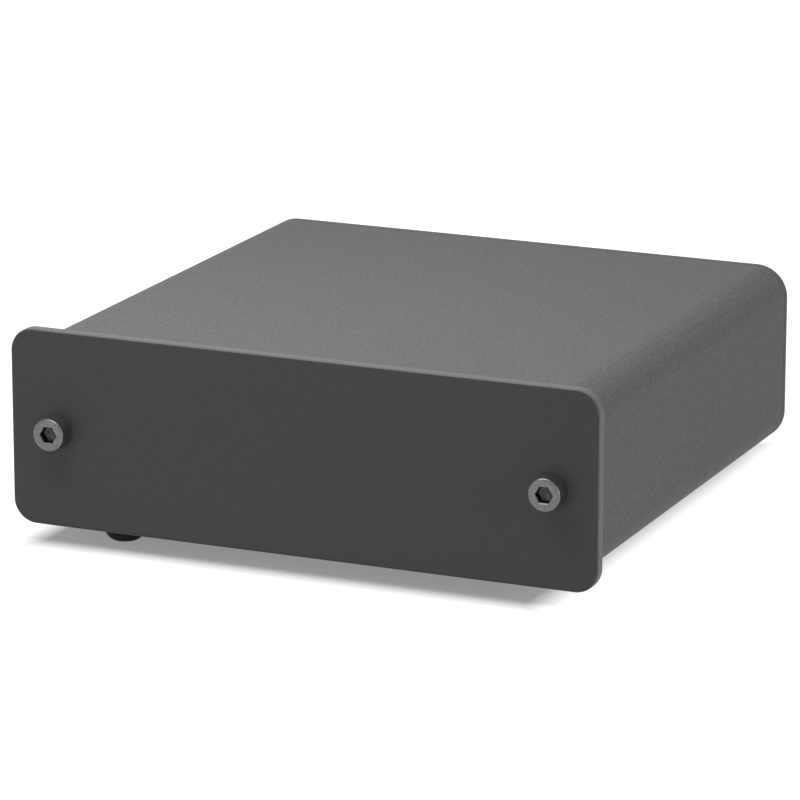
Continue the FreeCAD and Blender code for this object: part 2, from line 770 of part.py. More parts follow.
def make_switch():
    x = "switch_spot"
    front = SLEEVE_BACK
    case_low = (f"{x} - switch_wide / 2", f"{front} - switch_deep", BOARD_TOP)
    shell = box("switch_shell", case_low, ("switch_wide", "switch_deep", "switch_high"))
    hollow_low = (
        f"{x} - switch_wide / 2 + switch_wall",
        f"{front} - switch_deep",
        f"{BOARD_TOP} + switch_wall",
    )
    hollow = box("switch_hollow", hollow_low, (
        "switch_wide - 2 * switch_wall",
        "switch_deep - switch_wall",
        "switch_high - 2 * switch_wall",
    ))
    window_wide = "stem_wide + 2 * slide_gap"
    window_high = "stem_high + stem_travel + 2 * slide_gap"
    window_low = (
        f"{x} - ({window_wide}) / 2",
        f"{front} - switch_wall",
        f"{SWITCH_Z} - ({window_high}) / 2",
    )
    window = box("switch_window", window_low, (window_wide, "switch_wall", window_high))
    keep("switch_case", cut("switch_case", shell, hollow, window))

    base_low = (f"{x} - switch_wide / 2", f"{front} - switch_deep - switch_base", BOARD_TOP)
    base = box("switch_base", base_low, ("switch_wide", "switch_base", "switch_high"))
    keep("switch_base_plate", base)

    rest_z = f"{SWITCH_Z} - stem_travel / 2"
    inside = f"{front} - switch_wall - slide_gap"
    carriage_wide = "switch_wide - 2 * switch_wall - 2 * slide_gap"
    carriage_low = (
        f"{x} - ({carriage_wide}) / 2",
        f"{inside} - carriage_deep",
        f"{rest_z} - carriage_high / 2",
    )
    carriage = box("carriage", carriage_low, (carriage_wide, "carriage_deep", "carriage_high"))
    stem_low = (f"{x} - stem_wide / 2", f"{inside} - carriage_deep / 2", f"{rest_z} - stem_high / 2")
    stem_long = "carriage_deep / 2 + slide_gap + switch_wall + rear_thick + stem_out"
    stem = box("stem", stem_low, ("stem_wide", stem_long, "stem_high"))
    keep("switch_slider", joined("switch_slider", carriage, stem))

    terminals = []
    for i in range(3):
        up = f"{SWITCH_Z} + ({i - 1}) * terminal_pitch"
        back = f"{front} - switch_deep - switch_base"
        reach = f"(terminal_drop + {i} * (terminal_thick + slide_gap))"
        shift = f"{x} + ({i - 1}) * (terminal_wide + slide_gap) - terminal_wide / 2"
        arm_low = (shift, f"{back} - {reach}", f"{up} - terminal_thick / 2")
        arm = box(f"terminal_arm_{i}", arm_low, ("terminal_wide", reach, "terminal_thick"))
        drop_low = (shift, f"{back} - {reach}", BOARD_TOP)
        drop_high = f"{up} + terminal_thick / 2 - {BOARD_TOP}"
        drop = box(f"terminal_drop_{i}", drop_low, ("terminal_wide", "terminal_thick", drop_high))
        terminals.append(joined(f"terminal_{i}", arm, drop))
    group("switch_terminals", terminals)


# Circuit board and what is soldered to it

def make_board():
    half = f"({INNER_HALF} - board_side)"
    low = (f"-{half}", f"{PLATE_BACK} + board_front", BOARD_LOW)
    long = "sleeve_long - board_front - board_rear"
    keep("circuit_board", box("circuit_board", low, (f"2 * {half}", long, "board_thick")))


def chip(name, x, y):
    """An eight-legged amplifier chip."""
    low = (f"{x} - chip_wide / 2", f"{y} - chip_long / 2", f"{BOARD_TOP} + chip_foot")
    parts = [box(f"{name}_body", low, ("chip_wide", "chip_long", "chip_high"))]
    for side_name, side in SIDES.items():
        for i in range(4):
            leg_y = f"{y} + ({i - 1.5}) * leg_pitch - leg_wide / 2"
            leg_x = f"{x} + {side} * (chip_wide / 2 + leg_thick / 2) - leg_thick / 2"
            leg_high = "chip_foot + chip_high / 2"
            leg_low = (leg_x, leg_y, BOARD_TOP)
            size = ("leg_thick", "leg_wide", leg_high)
            parts.append(box(f"{name}_{side_name}_leg_{i}", leg_low, size))
    return joined(name, *parts)


def can(name, x, y, kind):
    """An electrolytic capacitor standing on the board."""
    return rod(name, (x, y, BOARD_TOP), f"{kind}_across", f"{kind}_high")


def leaded(name, x, y, kind):
    """A small part lying along Y on its two bent leads."""
    z = f"{BOARD_TOP} + {kind}_across / 2 + lead_across / 2"
    start = (x, f"{y} - {kind}_long / 2", z)
    parts = [rod(f"{name}_body", start, f"{kind}_across", f"{kind}_long", "y")]
    reach = f"({kind}_long / 2 + lead_reach)"
    edge = f"{x} - lead_across / 2"
    wire_low = (edge, f"{y} - {reach}", f"{z} - lead_across / 2")
    wire_size = ("lead_across", f"2 * {reach}", "lead_across")
    parts.append(box(f"{name}_wire", wire_low, wire_size))
    leg_size = ("lead_across", "lead_across", f"{kind}_across / 2 + lead_across")
    for end_name, leg_y in (("front", f"{y} - {reach}"), ("back", f"{y} + {reach} - lead_across")):
        parts.append(box(f"{name}_{end_name}_leg", (edge, leg_y, BOARD_TOP), leg_size))
    return joined(name, *parts)


def regulator(name, x, y, kind):
    """A round-backed regulator on three legs."""
    z = f"{BOARD_TOP} + {kind}_lift"
    round_body = rod(f"{name}_round", (x, y, z), f"{kind}_across", f"{kind}_high")
    flat_low = (f"{x} - {kind}_across / 2", f"{y} + {kind}_flat", z)
    flat_size = (f"{kind}_across", f"{kind}_across", f"{kind}_high")
    flat = box(f"{name}_flat", flat_low, flat_size)
    parts = [cut(f"{name}_body", round_body, flat)]
    for i in (-1, 0, 1):
        leg_x = f"{x} + ({i}) * leg_pitch / 2 - lead_across / 2"
        leg_low = (leg_x, f"{y} - lead_across / 2", BOARD_TOP)
        leg_size = ("lead_across", "lead_across", f"{kind}_lift")
        parts.append(box(f"{name}_leg_{i + 1}", leg_low, leg_size))
    return joined(name, *parts)


def row_of(label, maker, kind, count):
    """A group of like parts in one row, each a fixed step from the last."""
    parts = []
    for i in range(count):
        x = f"{kind}_spot + {i} * {kind}_pitch"
        parts.append(maker(f"{kind}_{i}", x, f"{REAR_FACE} - {kind}_from_rear", kind))
    group(label, parts)


def film(name, x, y, kind):
    """A film capacitor in its moulded box."""
    low = (f"{x} - {kind}_thick / 2", f"{y} - {kind}_long / 2", BOARD_TOP)
    return box(name, low, (f"{kind}_thick", f"{kind}_long", f"{kind}_high"))


def make_electronics():
    chips = []
    for name, side in SIDES.items():
        chips.append(chip(f"chip_{name}", f"{side} * chip_reach", f"{REAR_FACE} - chip_from_rear"))
    group("op_amps", chips)
    row_of("filter_capacitors", can, "filter", 2)
    row_of("coupling_capacitors", can, "coupling", 4)
    row_of("film_capacitors", film, "film", 6)
    row_of("resistors", leaded, "resistor", 8)
    row_of("rectifier_diodes", leaded, "diode", 4)
    row_of("voltage_regulators", regulator, "regulator", 2)


make_sleeve()
make_front_panel()
make_rear_panel()
make_case_screws()
make_feet()
make_jacks()
make_ground_terminal()
make_power_inlet()
make_switch()
make_board()
make_electronics()
doc.recompute()

for thing in doc.Objects:
    if "Invalid" in thing.State or "Error" in thing.State:
        raise RuntimeError(f"{thing.Name} failed: {thing.State}")
for label, thing in kept.items():
    if thing.Shape.isNull() or not thing.Shape.isValid() or not thing.Shape.Solids:
        raise RuntimeError(f"{label} has no valid solid")

os.makedirs("parts", exist_ok=True)
for label, thing in kept.items():
    thing.Shape.exportStep(f"parts/{label}.step")
print(len(kept), "nodes")
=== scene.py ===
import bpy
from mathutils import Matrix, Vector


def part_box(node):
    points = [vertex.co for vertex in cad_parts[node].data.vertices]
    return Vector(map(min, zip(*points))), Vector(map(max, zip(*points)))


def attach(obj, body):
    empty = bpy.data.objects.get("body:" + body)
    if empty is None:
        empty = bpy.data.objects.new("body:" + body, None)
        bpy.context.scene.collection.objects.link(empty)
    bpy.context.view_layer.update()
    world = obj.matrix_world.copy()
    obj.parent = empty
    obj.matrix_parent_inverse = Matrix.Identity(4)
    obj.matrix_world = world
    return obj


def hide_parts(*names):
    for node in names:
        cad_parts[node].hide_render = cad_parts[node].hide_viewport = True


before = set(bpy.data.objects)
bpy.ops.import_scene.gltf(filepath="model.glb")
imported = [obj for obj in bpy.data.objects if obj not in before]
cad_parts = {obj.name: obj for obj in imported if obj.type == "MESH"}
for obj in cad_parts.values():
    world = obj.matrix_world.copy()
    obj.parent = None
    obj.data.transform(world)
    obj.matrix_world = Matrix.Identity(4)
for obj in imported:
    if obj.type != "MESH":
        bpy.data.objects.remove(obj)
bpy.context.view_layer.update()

import math

import bmesh
import bpy
from mathutils import Vector

# Sleeve: one length of aluminium extrusion, sawn square and deburred. The die gives it round
# corners, a slot for the circuit board and a C-shaped screw port on each side wall. It is powder
# coated in a fine texture, and the circuit board slides in before the end panels go on.

MM = 0.001
SLEEVE_CORNER = 5.5
WALL = 1.5
RIB_REACH = 2.0
RIB_THICK = 1.2
SLOT_GAP = 0.2
SCREW_REACH = 43.4
PORT_BORE = 1.55
PORT_ROUND = 2.75
PORT_NECK = 1.3
PORT_SLIT = 0.7
SAWN_EDGE = 0.15


def box_of(node):
    """The lowest and highest corner of a node of the frame, in millimetres."""
    return [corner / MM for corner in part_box(node)]


def linear(colour):
    """An sRGB hex colour as the linear values that a shader reads."""
    parts = [int(colour[i:i + 2], 16) / 255 for i in (1, 3, 5)]
    return [p / 12.92 if p <= 0.04045 else ((p + 0.055) / 1.055) ** 2.4 for p in parts] + [1.0]


def add(tree, kind, inputs=None, **settings):
    """Add a node with its settings, and fill or link its inputs."""
    node = tree.nodes.new(kind)
    for name, value in settings.items():
        setattr(node, name, value)
    for name, value in (inputs or {}).items():
        if isinstance(value, bpy.types.NodeSocket):
            tree.links.new(value, node.inputs[name])
        else:
            node.inputs[name].default_value = value
    return node


def finish(name, **values):
    """Start a material; the values go on the shader's own sockets."""
    material = bpy.data.materials.new(name)
    material.use_nodes = True
    tree = material.node_tree
    shader = tree.nodes["Principled BSDF"]
    for socket, value in values.items():
        shader.inputs[socket.replace("_", " ")].default_value = value
    place = add(tree, "ShaderNodeTexCoord").outputs["Object"]
    return material, tree, shader, place


def mottled(name, dark, light, size, depth, spread=0.0, mark=None, **values):
    """A finish between two colours, in grains of a size in millimetres that stand up by a depth;
    the roughness varies with them by a spread, and marked places get a colour of their own, used
    for painted highlight and painted shade."""
    material, tree, shader, place = finish(name, **values)
    grains = {"Vector": place, "Scale": 1 / (size * MM), "Detail": 3.0}
    grains = add(tree, "ShaderNodeTexNoise", grains).outputs["Fac"]
    low, high = 0.3, 0.7
    share = add(tree, "ShaderNodeMapRange", {0: grains, 1: low, 2: high, 3: 0.0, 4: 1.0})
    colour = add(
        tree,
        "ShaderNodeMix",
        {0: share.outputs[0], 6: linear(dark), 7: linear(light)},
        data_type="RGBA",
    )
    bump = add(tree, "ShaderNodeBump", {"Height": grains, "Distance": depth * MM, "Strength": 0.5})
    if mark:
        label, shade = mark
        share = add(tree, "ShaderNodeAttribute", attribute_name=label)
        colour = {0: share.outputs["Fac"], 6: colour.outputs[2], 7: linear(shade)}
        colour = add(tree, "ShaderNodeMix", colour, data_type="RGBA")
    tree.links.new(colour.outputs[2], shader.inputs["Base Color"])
    tree.links.new(bump.outputs["Normal"], shader.inputs["Normal"])
    if spread:
        middle = values["Roughness"]
        dull = {0: grains, 1: low, 2: high, 3: middle - spread, 4: middle + spread}
        dull = add(tree, "ShaderNodeMapRange", dull)
        tree.links.new(dull.outputs[0], shader.inputs["Roughness"])
    return material


def marked(piece, label, test):
    """Mark a piece's points where a test of their place in millimetres holds."""
    marks = piece.data.attributes.new(label, "FLOAT", "POINT")
    for point, mark in zip(piece.data.vertices, marks.data):
        mark.value = float(test(point.co / MM))
    return piece


def made(name, shape):
    """A new object from a shape that was drawn in its place."""
    bmesh.ops.recalc_face_normals(shape, faces=shape.faces)
    mesh = bpy.data.meshes.new(name)
    shape.to_mesh(mesh)
    shape.free()
    piece = bpy.data.objects.new(name, mesh)
    bpy.context.scene.collection.objects.link(piece)
    return piece


def fitted(piece, material, slot, *nodes, body="case", sharp=35.0):
    """Shade the round faces smooth, give the finish, and put the piece in its nodes' place."""
    piece.data.materials.clear()
    piece.data.materials.append(material)
    piece.data.shade_smooth()
    piece.data.set_sharp_from_angle(angle=math.radians(sharp))
    piece.modifiers.new("Even shading", "WEIGHTED_NORMAL").keep_sharp = True
    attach(piece, body)
    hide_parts(*nodes)
    return piece


def round_box(wide, high, corner, middle, steps=14):
    """The outline of a plate with round corners, by how far it is drawn in."""
    def at(inset):
        points = []
        for quarter, (across, up) in enumerate(((1, 1), (-1, 1), (-1, -1), (1, -1))):
            for step in range(steps + 1):
                turn = math.radians(90 * (quarter + step / steps))
                x = across * (wide / 2 - corner) + (corner - inset) * math.cos(turn)
                z = middle + up * (high / 2 - corner) + (corner - inset) * math.sin(turn)
                points.append((x, z))
        return points
    return at


def extruded(name, outlines, stations):
    """A closed shape along Y. The first outline is its outside and the others are its openings;
    a station is a place along Y and how far the outlines are drawn in there."""
    shape = bmesh.new()
    ends = [[], []]
    for at in outlines:
        rings = [
            [shape.verts.new((x * MM, y * MM, z * MM)) for x, z in at(inset)]
            for y, inset in stations
        ]
        for near, far in zip(rings, rings[1:]):
            for i in range(len(near)):
                shape.faces.new((near[i - 1], near[i], far[i], far[i - 1]))
        for end, ring in zip(ends, (rings[0], rings[-1])):
            end += [shape.edges.get((ring[i - 1], ring[i])) for i in range(len(ring))]
    for end in ends:
        bmesh.ops.triangle_fill(shape, edges=end, use_beauty=True)
    return made(name, shape)


def arc(x, z, radius, start, stop, steps):
    """Points on an arc in the XZ plane, its angles in degrees from +X."""
    turns = [math.radians(start + (stop - start) * i / steps) for i in range(steps + 1)]
    return [(x + radius * math.cos(turn), z + radius * math.sin(turn)) for turn in turns]


sleeve_low, sleeve_high = box_of("sleeve")
board_low, board_high = box_of("circuit_board")
SLEEVE_WIDE = sleeve_high.x - sleeve_low.x
SLEEVE_TALL = sleeve_high.z - sleeve_low.z
MIDDLE = (sleeve_high.z + sleeve_low.z) / 2


def sleeve_inside(inset):
    """The die's inner line: up the right wall, and mirrored down the left one."""
    wall = SLEEVE_WIDE / 2 - WALL
    rib = wall - RIB_REACH
    corner = SLEEVE_CORNER - WALL
    low = sleeve_low.z + SLEEVE_CORNER
    high = sleeve_high.z - SLEEVE_CORNER
    under, over = board_low.z, board_high.z + SLOT_GAP
    start = math.degrees(math.asin((under - RIB_THICK - low) / corner))
    neck = math.degrees(math.asin(PORT_NECK / PORT_ROUND))
    mouth = math.degrees(math.asin(PORT_SLIT / PORT_ROUND))
    throat = math.degrees(math.asin(PORT_SLIT / PORT_BORE))
    right = arc(wall - corner, low, corner, -90, start, 10)
    for z in (under, over + RIB_THICK):
        right += [(rib, z - RIB_THICK), (rib, z), (wall, z)]
        if z == under:
            right.append((wall, over))
    right.append((wall, MIDDLE - PORT_NECK))
    right += arc(SCREW_REACH, MIDDLE, PORT_ROUND, -neck, mouth - 180, 14)
    right += arc(SCREW_REACH, MIDDLE, PORT_BORE, throat - 180, 180 - throat, 28)
    right += arc(SCREW_REACH, MIDDLE, PORT_ROUND, 180 - mouth, neck, 14)
    right.append((wall, MIDDLE + PORT_NECK))
    right += arc(wall - corner, high, corner, 0, 90, 10)
    return right + [(-x, z) for x, z in reversed(right)]


# Powder coat in a fine texture, charcoal grey: the baked powder leaves a pebbled skin of about
# half a millimetre, which breaks up every highlight into a soft even sheen
coat = mottled(
    "fine texture powder coat",
    "#585859",
    "#6a6a6b",
    0.6,
    0.05,
    Roughness=0.6,
    Specular_IOR_Level=0.15,
)

sleeve = extruded(
    "coated_sleeve",
    [round_box(SLEEVE_WIDE, SLEEVE_TALL, SLEEVE_CORNER, MIDDLE), sleeve_inside],
    [
        (sleeve_low.y, SAWN_EDGE),
        (sleeve_low.y + SAWN_EDGE, 0),
        (sleeve_high.y - SAWN_EDGE, 0),
        (sleeve_high.y, SAWN_EDGE),
    ],
)
fitted(sleeve, coat, "sleeve_coat", "sleeve")

# Front plate: 2 mm aluminium, larger than the sleeve all round, its corners milled and its front
# edge tumbled soft. It is painted a smooth satin black and held by one screw at each end.

PLATE_CORNER = 4.0
PLATE_EDGE = 0.45
BACK_EDGE = 0.12
# How far behind the plate's front the paler colour of the painted edge highlight begins
HIGHLIGHT_SETBACK = 0.1
SCREW_HOLE = 1.65


def round_hole(x, z, radius, count=48):
    """A round opening, by how far its edge is opened out."""
    def at(inset):
        return arc(x, z, radius + inset, 0, 360 * (count - 1) / count, count - 1)
    return at


def edge_stations(front, back, radius, bevel, steps=6):
    """Along Y from a rounded front edge of that radius to a small bevel at the back."""
    turns = [math.radians(90 * i / steps) for i in range(steps, -1, -1)]
    rounded = [(front + radius * (1 - math.sin(t)), radius * (1 - math.cos(t))) for t in turns]
    return rounded + [(back - bevel, 0), (back, bevel)]


# Satin paint over a fine primed surface: an even, nearly matt black with a wide dull sheen, and
# only the faintest grain of a third of a millimetre; along the plate's edge it is painted paler,
# a painted highlight
paint = mottled(
    "satin black paint",
    "#404042",
    "#474748",
    0.3,
    0.008,
    0.03,
    ("edge", "#646465"),
    Roughness=0.5,
    Specular_IOR_Level=0.25,
)

plate_low, plate_high = box_of("front_panel")
plate = extruded(
    "painted_front_plate",
    [
        round_box(
            plate_high.x - plate_low.x,
            plate_high.z - plate_low.z,
            PLATE_CORNER,
            (plate_high.z + plate_low.z) / 2,
        ),
        round_hole(-SCREW_REACH, MIDDLE, SCREW_HOLE),
        round_hole(SCREW_REACH, MIDDLE, SCREW_HOLE),
    ],
    edge_stations(plate_low.y, plate_high.y, PLATE_EDGE, BACK_EDGE),
)
# The plate's edge faces between these places get the paler colour, a painted highlight
highlight_start, highlight_end = plate_low.y + HIGHLIGHT_SETBACK, plate_high.y - BACK_EDGE / 2
marked(plate, "edge", lambda at: highlight_start < at.y < highlight_end)
fitted(plate, paint, "panel_coat", "front_panel")

# Case screws: four M3 socket head cap screws of alloy steel, cold formed and blackened, two
# through each panel into the sleeve's ports. Each head stands proud of its panel.

HEAD_RADIUS = 2.75
HEAD_TALL = 3.0
HEAD_ROUND = 0.4
HEAD_BEVEL = 0.1
HEX_ACROSS = 2.5
HEX_DEEP = 1.6
HEX_BEVEL = 0.15
HEX_POINT = 0.5
SHANK_RADIUS = 1.5
SHANK_EDGE = 0.4
FRONT_SCREW = 10.0
REAR_SCREW = 8.0


def circle(radius, along, count=48, upright=False):
    """A ring of points about Y, or about Z for an upright piece; no radius gives its pole."""
    if not radius:
        return [(0, 0, along) if upright else (0, along, 0)]
    points = arc(0, 0, radius, 0, 360 * (count - 1) / count, count - 1)
    return [(x, z, along) if upright else (x, along, z) for x, z in points]


def hexagon(across, along, count=48):
    """A ring of points on a hexagon about Y, its flats that far apart, with a corner on +X."""
    ring = []
    for x, y, z in circle(across / 2, along, count):
        turn = math.degrees(math.atan2(z, x)) % 60 - 30
        ring.append((x / math.cos(math.radians(turn)), y, z / math.cos(math.radians(turn))))
    return ring


def lofted(name, rings, hollow=False, middle=(0, 0, 0)):
    """A closed skin over rings of points; a ring of one point is a pole, and a hollow piece's
    last ring is joined to its first."""
    shape = bmesh.new()
    middle = Vector(middle)
    rows = [[shape.verts.new((Vector(point) + middle) * MM) for point in ring] for ring in rings]
    following = rows[1:] + rows[:1] if hollow else rows[1:]
    for near, far in zip(rows, following):
        for i in range(max(len(near), len(far))):
            corners = (near[i - 1 if len(near) > 1 else 0], near[i % len(near)])
            corners += (far[i % len(far)], far[i - 1 if len(far) > 1 else 0])
            shape.faces.new(list(dict.fromkeys(corners)))
    return made(name, shape)


def rounding(radius, edge, along, steps=5):
    """Radius and place of the points round an outer edge that ends flat at a place."""
    turns = [math.radians(90 * i / steps) for i in range(steps + 1)]
    return [(radius - edge * (1 - math.cos(t)), along + edge * (1 - math.sin(t))) for t in turns]


def cap_screw(name, long):
    """A socket head screw about Y: its head is at negative Y and its shank at positive Y."""
    rings = [circle(0, long), circle(SHANK_RADIUS - SHANK_EDGE, long)]
    rings += [circle(SHANK_RADIUS, long - SHANK_EDGE), circle(SHANK_RADIUS, 0)]
    rings += [circle(HEAD_RADIUS - HEAD_BEVEL, 0), circle(HEAD_RADIUS, -HEAD_BEVEL)]
    rings += [circle(r, y) for r, y in rounding(HEAD_RADIUS, HEAD_ROUND, -HEAD_TALL)]
    rings += [hexagon(HEX_ACROSS + 2 * HEX_BEVEL, -HEAD_TALL)]
    rings += [hexagon(HEX_ACROSS, HEX_BEVEL - HEAD_TALL), hexagon(HEX_ACROSS, HEX_DEEP - HEAD_TALL)]
    rings += [circle(0, HEX_DEEP + HEX_POINT - HEAD_TALL)]
    # The socket's walls and floor are marked for a darker colour, a painted shade in the recess
    mouth, pit = HEX_BEVEL / 2 - HEAD_TALL, HEX_DEEP + HEX_POINT * 1.5 - HEAD_TALL

    def in_recess(at):
        return mouth < at.y < pit and math.hypot(at.x, at.z) < HEX_ACROSS * 0.6

    return marked(lofted(name, rings), "recess", in_recess)


def copying_tree():
    """Geometry nodes that set a copy of a piece on each spot, all turned alike about Z."""
    tree = bpy.data.node_groups.new("Copies on spots", "GeometryNodeTree")
    tree.interface.new_socket("Geometry", in_out="OUTPUT", socket_type="NodeSocketGeometry")
    for name, kind in {
        "Spots": "Geometry",
        "Piece": "Object",
        "Turn": "Vector",
        "Finish": "Material",
    }.items():
        tree.interface.new_socket(name, in_out="INPUT", socket_type="NodeSocket" + kind)
    given = add(tree, "NodeGroupInput").outputs
    piece = add(tree, "GeometryNodeObjectInfo", {"Object": given["Piece"]})
    turn = add(tree, "FunctionNodeEulerToRotation", {"Euler": given["Turn"]})
    copies = add(
        tree,
        "GeometryNodeInstanceOnPoints",
        {
            "Points": given["Spots"],
            "Instance": piece.outputs["Geometry"],
            "Rotation": turn.outputs["Rotation"],
        },
    )
    whole = add(tree, "GeometryNodeRealizeInstances", {"Geometry": copies.outputs["Instances"]})
    coated = {"Geometry": whole.outputs["Geometry"], "Material": given["Finish"]}
    coated = add(tree, "GeometryNodeSetMaterial", coated)
    add(tree, "NodeGroupOutput", {"Geometry": coated.outputs["Geometry"]})
    return tree


def from_nodes(name, tree, spots, **values):
    """The plain mesh that a tree of geometry nodes gives for its spots and its named inputs."""
    start = bpy.data.meshes.new(name + "_spots")
    start.from_pydata([Vector(spot) * MM for spot in spots], [], [])
    piece = bpy.data.objects.new(name, start)
    bpy.context.scene.collection.objects.link(piece)
    maker = piece.modifiers.new("Maker", "NODES")
    maker.node_group = tree
    for item in tree.interface.items_tree:
        if item.name in values:
            maker[item.identifier] = values[item.name]
    graph = bpy.context.evaluated_depsgraph_get()
    mesh = bpy.data.meshes.new_from_object(piece.evaluated_get(graph))
    piece.modifiers.clear()
    piece.data = mesh
    return piece


copying = copying_tree()


def copies_at(name, pattern, material, spots, turn=0.0):
    """Copies of a pattern on some spots, as one mesh; the pattern is then removed."""
    piece = from_nodes(name, copying, spots, Piece=pattern, Turn=(0.0, 0.0, turn), Finish=material)
    bpy.data.objects.remove(pattern)
    return piece


# Black oxide on steel: a thin conversion layer that stays metallic underneath, so the head is
# nearly black with a soft oily glint along its edges; the recess is painted darker, a painted shade
oxide = mottled(
    "black oxide steel",
    "#5c5c5e",
    "#727274",
    0.3,
    0.01,
    0.06,
    ("recess", "#404041"),
    Metallic=0.8,
    Roughness=0.34,
)

rear_low, rear_high = box_of("rear_panel")
for side, face, long, turn in (
    ("front", plate_low.y, FRONT_SCREW, 0.0),
    ("rear", rear_high.y, REAR_SCREW, math.pi),
):
    spots = [(-SCREW_REACH, face, MIDDLE), (SCREW_REACH, face, MIDDLE)]
    screws = copies_at(side + "_cap_screws", cap_screw(side + "_pattern", long), oxide, spots, turn)
    fitted(screws, oxide, "black_steel", side + "_screws")

# Feet: four domed bumpers of moulded rubber, stuck under the sleeve near its corners. Each has a
# short straight rim under the case and a small flat worn where it stands.

FOOT_ROUND = 3.7
FOOT_FLAT = 1.6
FOOT_TALL = 3.7
FOOT_RIM = 0.6
DOME_STEPS = 12
FRONT_LEFT = plate_high.y + 5.3
FRONT_RIGHT = plate_high.y + 12.0
REAR_ROW = rear_high.y - 9.0

# Moulded rubber: a dead matt near black with a fine dusty bloom
rubber = mottled(
    "moulded rubber", "#1c1c1c", "#2c2c2c", 0.4, 0.02, Roughness=0.7, Specular_IOR_Level=0.3
)

dome = [circle(0, 0, upright=True)]
for step in range(DOME_STEPS + 1):
    turn = math.radians(90 * step / DOME_STEPS)
    radius = FOOT_FLAT + (FOOT_ROUND - FOOT_FLAT) * math.sin(turn)
    dome.append(circle(radius, (FOOT_TALL - FOOT_RIM) * (1 - math.cos(turn)), upright=True))
dome += [circle(FOOT_ROUND, FOOT_TALL, upright=True), circle(0, FOOT_TALL, upright=True)]
reach = (box_of("feet")[1].x - box_of("feet")[0].x) / 2 - FOOT_ROUND
spots = [(-reach, FRONT_LEFT), (reach, FRONT_RIGHT), (-reach, REAR_ROW), (reach, REAR_ROW)]
feet = copies_at("rubber_feet", lofted("foot_pattern", dome), rubber, [(x, y, 0) for x, y in spots])
fitted(feet, rubber, "foot_rubber", "feet")

# Rear panel: 1.5 mm aluminium, flush with the sleeve and coated like it, punched for all that
# stands out at the back. It carries no lettering.

JACKS = {
    pair + "_" + side: sum(box_of(f"{pair}_{side}_shell"), Vector()) / 2
    for pair in ("input", "output")
    for side in ("left", "right")
}
NECK_HOLE = 4.6
TAPPING_HOLE = 1.45
TAPPING_UP = 3.4
STUD_HOLE = 2.15
INLET_HOLE = 4.15
WINDOW_WIDE = 2.4
WINDOW_TALL = 4.4
WINDOW_CORNER = 0.3
PANEL_EDGE = 0.25

jack_z = JACKS["input_left"].z
pair_spots = [
    (JACKS[pair + "_left"].x + JACKS[pair + "_right"].x) / 2
    for pair in ("input", "output")
]
stud_x = sum(box_of("ground_stud"), Vector()).x / 2
inlet = sum(box_of("inlet_pin_contact"), Vector()) / 2
switch = sum(box_of("switch_case"), Vector()) / 2


def window(inset):
    """The slot that the switch's stem moves in, by how far its edge is opened out."""
    outline = round_box(WINDOW_WIDE, WINDOW_TALL, WINDOW_CORNER, switch.z, steps=3)
    return [(switch.x + x, z) for x, z in outline(-inset)]


openings = [round_hole(side * SCREW_REACH, MIDDLE, SCREW_HOLE) for side in (-1, 1)]
openings += [round_hole(spot.x, jack_z, NECK_HOLE) for spot in JACKS.values()]
openings += [round_hole(x, jack_z + TAPPING_UP, TAPPING_HOLE) for x in pair_spots]
openings += [round_hole(stud_x, jack_z, STUD_HOLE)]
openings += [round_hole(inlet.x, inlet.z, INLET_HOLE), window]
rear_edges = edge_stations(rear_low.y, rear_high.y, PANEL_EDGE, BACK_EDGE)
rear = extruded(
    "coated_rear_panel",
    [round_box(SLEEVE_WIDE, SLEEVE_TALL, SLEEVE_CORNER, MIDDLE), *openings],
    [(rear_low.y + rear_high.y - y, inset) for y, inset in rear_edges],
)
fitted(rear, coat, "rear_coat", "rear_panel")

# Phono jacks: two moulded blocks on the circuit board, each with a pair of barrels turned from
# brass and nickel plated, a coloured ring in each, white left and red right, and a spring socket
# for the plug's pin. The blocks and sockets are the frame's own.

BARREL = 4.15
BARREL_BORE = 3.35
BARREL_NECK = 4.45
BARREL_OUT = 8.5
BARREL_SEAT = 5.0
CORE_BORE = 2.23
CORE_RECESS = 0.8
CORE_EDGE = 0.3
RING_EDGE = 0.1
TIP_ROUND = 0.35
TIP_EDGE = 0.2
PRESS_GAP = 0.03


def turned(name, profile, middle, count=64):
    """A hollow piece turned about Y, from an outline of radius and place along Y."""
    return lofted(name, [circle(radius, y, count) for radius, y in profile], True, middle)


# Nickel plate on turned brass: a warm bright metal, with a faint mottle that softens what it
# reflects
nickel = mottled(
    "nickel plated brass", "#bdb6aa", "#c9c3b8", 0.5, 0.0005, 0.03, Metallic=1.0, Roughness=0.24
)

# Coloured rings of moulded acetal: even and satin, a milky white and a deep red
white = mottled("white acetal", "#d9d8d2", "#e4e3dd", 0.6, 0.003, Roughness=0.38)
red = mottled("red acetal", "#a3151a", "#b31c20", 0.6, 0.003, Roughness=0.38)
rings = {"left": (white, "white_insulator"), "right": (red, "red_insulator")}
tip = rear_high.y + BARREL_OUT
seat = rear_low.y - BARREL_SEAT
for name, spot in JACKS.items():
    middle = (spot.x, 0, spot.z)
    profile = [(BARREL_BORE, seat), (BARREL_NECK, seat), (BARREL_NECK, rear_high.y - TIP_EDGE)]
    profile += [(BARREL_NECK - TIP_EDGE, rear_high.y), (BARREL, rear_high.y)]
    profile += [(r, 2 * tip - y) for r, y in rounding(BARREL, TIP_ROUND, tip)]
    profile += [(BARREL_BORE + TIP_EDGE, tip), (BARREL_BORE, tip - TIP_EDGE)]
    fitted(turned(name + "_barrel", profile, middle), nickel, "nickel", name + "_shell")
    outer, face = BARREL_BORE - PRESS_GAP, tip - CORE_RECESS
    profile = [(CORE_BORE, seat), (outer, seat), (outer, face - RING_EDGE), (outer - RING_EDGE, face)]
    profile += [(CORE_BORE + CORE_EDGE, face), (CORE_BORE, face - CORE_EDGE)]
    acetal, slot = rings[name.split("_")[1]]
    fitted(turned(name + "_ring", profile, middle), acetal, slot, name + "_insulator")

# Jack screws: two pan head screws of blackened steel that cut their own thread in the blocks,
# each with a cross recess

